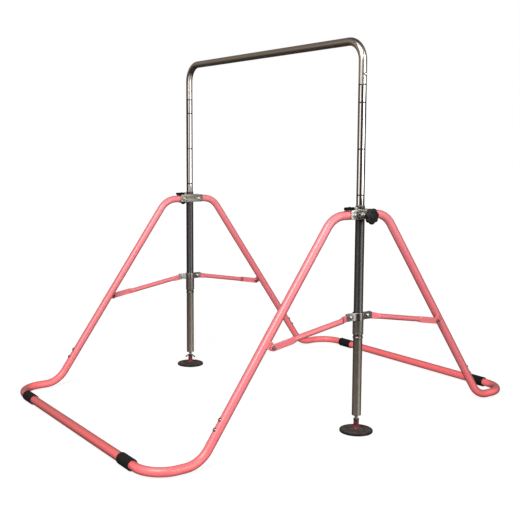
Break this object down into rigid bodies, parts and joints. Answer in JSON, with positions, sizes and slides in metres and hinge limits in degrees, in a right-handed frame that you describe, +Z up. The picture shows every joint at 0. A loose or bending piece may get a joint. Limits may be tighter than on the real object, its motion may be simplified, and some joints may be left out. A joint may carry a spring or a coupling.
{
  "type": "folding gymnastics kip bar",
  "caption": "Folding junior gymnastics bar: a U-shaped steel rail telescoping in two braced uprights on splayed pink legs that fold in.",
  "frame": {"origin": "on the floor, midway between the two uprights", "axes": "+X along the bar to the right, +Y to the back, +Z up; the latch levers are on the front (-Y) side"},
  "size_m": [1.232, 1.6708, 1.351],
  "materials": {
    "rail_chrome": "polished",
    "zinc_steel": "zinc plated",
    "post_grey": "gloss",
    "nylon": "satin",
    "dark_steel": "black oxide",
    "bracket_steel": "satin",
    "dark_chrome": "polished",
    "black_plastic": "moulded",
    "pink_paint": "gloss powder coat",
    "sleeve_rubber": "matte",
    "foot_rubber": "semi-gloss"
  },
  "bodies": {
    "uprights": {"left_post": "post_grey", "right_post": "post_grey", "post_bushes": "nylon", "post_plugs": "dark_steel", "left_head_bracket": "bracket_steel", "right_head_bracket": "bracket_steel", "head_pivot_bolts": "zinc_steel", "head_pivot_nuts": "zinc_steel", "latch_pins": "zinc_steel"},
    "rail": {"kip_rail": "rail_chrome", "left_pole": "rail_chrome", "right_pole": "rail_chrome", "left_spring_clip": "zinc_steel", "right_spring_clip": "zinc_steel"},
    "left_button": {"left_snap_button": "zinc_steel"},
    "left_knob": {"left_clamp_knob": "black_plastic", "left_knob_stud": "zinc_steel"},
    "left_latch": {"left_latch_lever": "black_plastic"},
    "left_slider": {"left_slide_bracket": "dark_chrome", "left_slide_bush": "nylon", "left_slide_bolts": "zinc_steel"},
    "left_foot": {"left_foot_pad": "foot_rubber", "left_foot_stem": "zinc_steel"},
    "left_lock_nut": {"left_wing_nut": "dark_steel"},
    "right_button": {"right_snap_button": "zinc_steel"},
    "right_knob": {"right_clamp_knob": "black_plastic", "right_knob_stud": "zinc_steel"},
    "right_latch": {"right_latch_lever": "black_plastic"},
    "right_slider": {"right_slide_bracket": "dark_chrome", "right_slide_bush": "nylon", "right_slide_bolts": "zinc_steel"},
    "right_foot": {"right_foot_pad": "foot_rubber", "right_foot_stem": "zinc_steel"},
    "right_lock_nut": {"right_wing_nut": "dark_steel"},
    "front_frame": {"front_left_leg": "pink_paint", "front_right_leg": "pink_paint", "front_left_corner": "pink_paint", "front_right_corner": "pink_paint", "front_cross_tube": "pink_paint", "front_sleeves": "sleeve_rubber", "front_joint_screws": "dark_steel", "front_brace_lugs": "pink_paint", "front_lug_nuts": "dark_steel"},
    "front_left_strut": {"front_left_brace": "pink_paint", "front_left_brace_bolt": "dark_steel"},
    "front_right_strut": {"front_right_brace": "pink_paint", "front_right_brace_bolt": "dark_steel"},
    "back_frame": {"back_left_leg": "pink_paint", "back_right_leg": "pink_paint", "back_left_corner": "pink_paint", "back_right_corner": "pink_paint", "back_cross_tube": "pink_paint", "back_sleeves": "sleeve_rubber", "back_joint_screws": "dark_steel", "back_brace_lugs": "pink_paint", "back_lug_nuts": "dark_steel"},
    "back_left_strut": {"back_left_brace": "pink_paint", "back_left_brace_bolt": "dark_steel"},
    "back_right_strut": {"back_right_brace": "pink_paint", "back_right_brace_bolt": "dark_steel"}
  },
  "joints": [
    {"name": "rail_height", "type": "slide", "parent": "uprights", "child": "rail", "axis": [0, 0, 1], "range_m": [-0.395, 0.06]},
    {"name": "left_button_press", "type": "slide", "parent": "rail", "child": "left_button", "axis": [1, 0, 0], "range_m": [0, 0.005], "stiffness_N_per_m": 800, "springref_m": -0.002},
    {"name": "right_button_press", "type": "slide", "parent": "rail", "child": "right_button", "axis": [-1, 0, 0], "range_m": [0, 0.005], "stiffness_N_per_m": 800, "springref_m": -0.002},
    {"name": "front_frame_fold", "type": "hinge", "parent": "uprights", "child": "front_frame", "pos_m": [0, -0.036, 0.756], "axis": [1, 0, 0], "range_deg": [0, 35.4]},
    {"name": "back_frame_fold", "type": "hinge", "parent": "uprights", "child": "back_frame", "pos_m": [0, 0.036, 0.756], "axis": [1, 0, 0], "range_deg": [-35.4, 0]},
    {"name": "left_slider_rise", "type": "slide", "parent": "uprights", "child": "left_slider", "axis": [0, 0, 1], "range_m": [0, 0.1609]},
    {"name": "front_left_strut_turn", "type": "hinge", "parent": "left_slider", "child": "front_left_strut", "pos_m": [-0.56, -0.039, 0.408], "axis": [1, 0, 0], "range_deg": [0, 73.7]},
    {"name": "back_left_strut_turn", "type": "hinge", "parent": "left_slider", "child": "back_left_strut", "pos_m": [-0.56, 0.039, 0.408], "axis": [1, 0, 0], "range_deg": [-73.7, 0]},
    {"name": "right_slider_rise", "type": "slide", "parent": "uprights", "child": "right_slider", "axis": [0, 0, 1], "range_m": [0, 0.1609]},
    {"name": "front_right_strut_turn", "type": "hinge", "parent": "right_slider", "child": "front_right_strut", "pos_m": [0.56, -0.039, 0.408], "axis": [1, 0, 0], "range_deg": [0, 73.7]},
    {"name": "back_right_strut_turn", "type": "hinge", "parent": "right_slider", "child": "back_right_strut", "pos_m": [0.56, 0.039, 0.408], "axis": [1, 0, 0], "range_deg": [-73.7, 0]},
    {"name": "left_knob_turn", "type": "hinge", "parent": "uprights", "child": "left_knob", "pos_m": [-0.6, 0, 0.755], "axis": [1, 0, 0], "continuous": true},
    {"name": "right_knob_turn", "type": "hinge", "parent": "uprights", "child": "right_knob", "pos_m": [0.6, 0, 0.755], "axis": [1, 0, 0], "continuous": true},
    {"name": "left_latch_lift", "type": "hinge", "parent": "uprights", "child": "left_latch", "pos_m": [-0.55, -0.032, 0.779], "axis": [-1, 0, 0], "range_deg": [0, 30]},
    {"name": "right_latch_lift", "type": "hinge", "parent": "uprights", "child": "right_latch", "pos_m": [0.55, -0.032, 0.779], "axis": [-1, 0, 0], "range_deg": [0, 30]},
    {"name": "left_foot_level", "type": "slide", "parent": "uprights", "child": "left_foot", "axis": [0, 0, 1], "range_m": [0, 0.01]},
    {"name": "right_foot_level", "type": "slide", "parent": "uprights", "child": "right_foot", "axis": [0, 0, 1], "range_m": [0, 0.01]},
    {"name": "left_lock_nut_turn", "type": "hinge", "parent": "left_foot", "child": "left_lock_nut", "pos_m": [-0.55, 0, 0.044], "axis": [0, 0, 1], "continuous": true},
    {"name": "right_lock_nut_turn", "type": "hinge", "parent": "right_foot", "child": "right_lock_nut", "pos_m": [0.55, 0, 0.044], "axis": [0, 0, 1], "continuous": true}
  ],
  "couplings": [
    {"joint": "back_frame_fold", "follows": "front_frame_fold", "ratio": -1},
    {"joint": "left_slider_rise", "follows": "front_frame_fold", "m_per_rad": 0.26023},
    {"joint": "front_left_strut_turn", "follows": "front_frame_fold", "ratio": 2.0806},
    {"joint": "back_left_strut_turn", "follows": "front_frame_fold", "ratio": -2.0806},
    {"joint": "right_slider_rise", "follows": "front_frame_fold", "m_per_rad": 0.26023},
    {"joint": "front_right_strut_turn", "follows": "front_frame_fold", "ratio": 2.0806},
    {"joint": "back_right_strut_turn", "follows": "front_frame_fold", "ratio": -2.0806}
  ]
}
